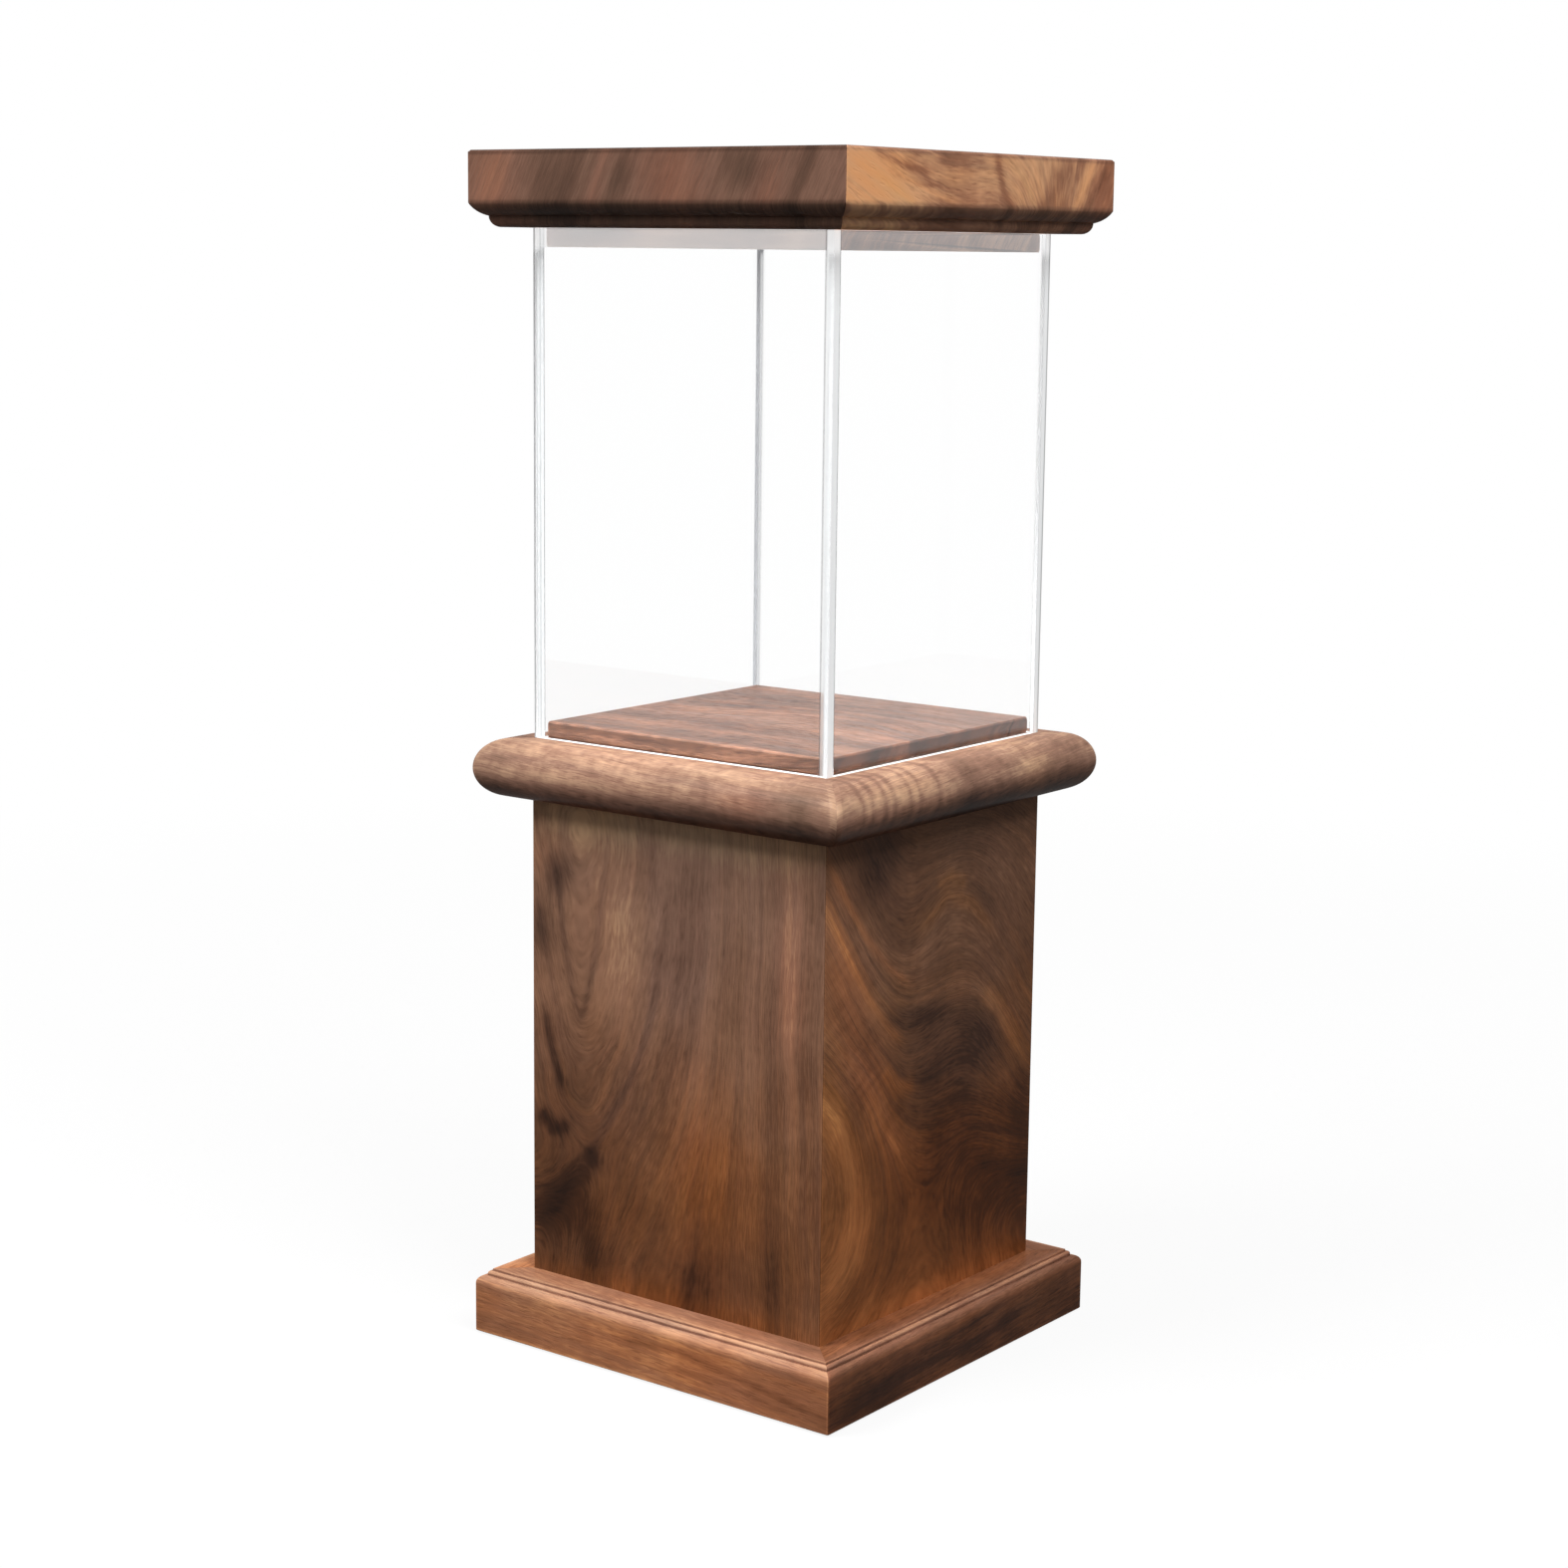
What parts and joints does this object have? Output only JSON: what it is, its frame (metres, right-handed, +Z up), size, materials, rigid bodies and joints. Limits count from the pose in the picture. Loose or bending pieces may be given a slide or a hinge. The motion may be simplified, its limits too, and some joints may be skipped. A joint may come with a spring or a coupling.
{
  "type": "pedestal display case",
  "caption": "Square walnut pedestal with a moulded base and bullnose deck, a clear lift-off case over a raised display board, and a moulded lift-off wooden lid.",
  "frame": {"origin": "middle of the square footprint, on the surface that the foot pads stand on", "axes": "+Z up; -Y is the front; +X is the viewer's right when looking at the front"},
  "size_m": [0.3156, 0.3156, 0.8277],
  "materials": {
    "pedestal_walnut": "oiled figured walnut, satin, grain upright",
    "base_walnut": "oiled walnut, satin, grain along the rail",
    "deck_walnut": "oiled walnut, satin, grain along the rail",
    "lid_walnut": "oiled figured walnut, satin",
    "board_walnut": "oiled walnut, satin",
    "plywood": "sanded birch ply, bare",
    "block_pine": "planed pine, bare",
    "clear_sheet": "clear polished acrylic sheet with flame-polished edges",
    "felt": "dense wool felt",
    "screw_brass": "turned brass, countersunk"
  },
  "bodies": {
    "pedestal": {"base_rail_front": "base_walnut", "base_rail_right": "base_walnut", "base_rail_back": "base_walnut", "base_rail_left": "base_walnut", "base_panel": "plywood", "foot_pad_front_right": "felt", "foot_pad_back_right": "felt", "foot_pad_back_left": "felt", "foot_pad_front_left": "felt", "base_screw_front": "screw_brass", "base_screw_right": "screw_brass", "base_screw_back": "screw_brass", "base_screw_left": "screw_brass", "pedestal_board_front": "pedestal_walnut", "pedestal_board_right": "pedestal_walnut", "pedestal_board_back": "pedestal_walnut", "pedestal_board_left": "pedestal_walnut", "corner_block_front_right": "block_pine", "corner_block_back_right": "block_pine", "corner_block_back_left": "block_pine", "corner_block_front_left": "block_pine", "deck_rail_front": "deck_walnut", "deck_rail_right": "deck_walnut", "deck_rail_back": "deck_walnut", "deck_rail_left": "deck_walnut", "deck_panel": "plywood", "display_board": "board_walnut", "deck_screw_front_right": "screw_brass", "deck_screw_back_right": "screw_brass", "deck_screw_back_left": "screw_brass", "deck_screw_front_left": "screw_brass"},
    "case": {"case_wall_front": "clear_sheet", "case_wall_right": "clear_sheet", "case_wall_back": "clear_sheet", "case_wall_left": "clear_sheet"},
    "lid": {"lid_rail_front": "lid_walnut", "lid_rail_right": "lid_walnut", "lid_rail_back": "lid_walnut", "lid_rail_left": "lid_walnut", "lid_panel": "lid_walnut", "lid_plug": "board_walnut", "plug_screw_1_front": "screw_brass", "plug_screw_1_right": "screw_brass", "plug_screw_1_back": "screw_brass", "plug_screw_1_left": "screw_brass", "plug_screw_2_front": "screw_brass", "plug_screw_2_right": "screw_brass", "plug_screw_2_back": "screw_brass", "plug_screw_2_left": "screw_brass"}
  },
  "joints": [
    {"name": "case_lift", "type": "slide", "parent": "pedestal", "child": "case", "axis": [0, 0, 1], "range_m": [0, 0.36]},
    {"name": "lid_lift", "type": "slide", "parent": "case", "child": "lid", "axis": [0, 0, 1], "range_m": [0, 0.2]}
  ]
}
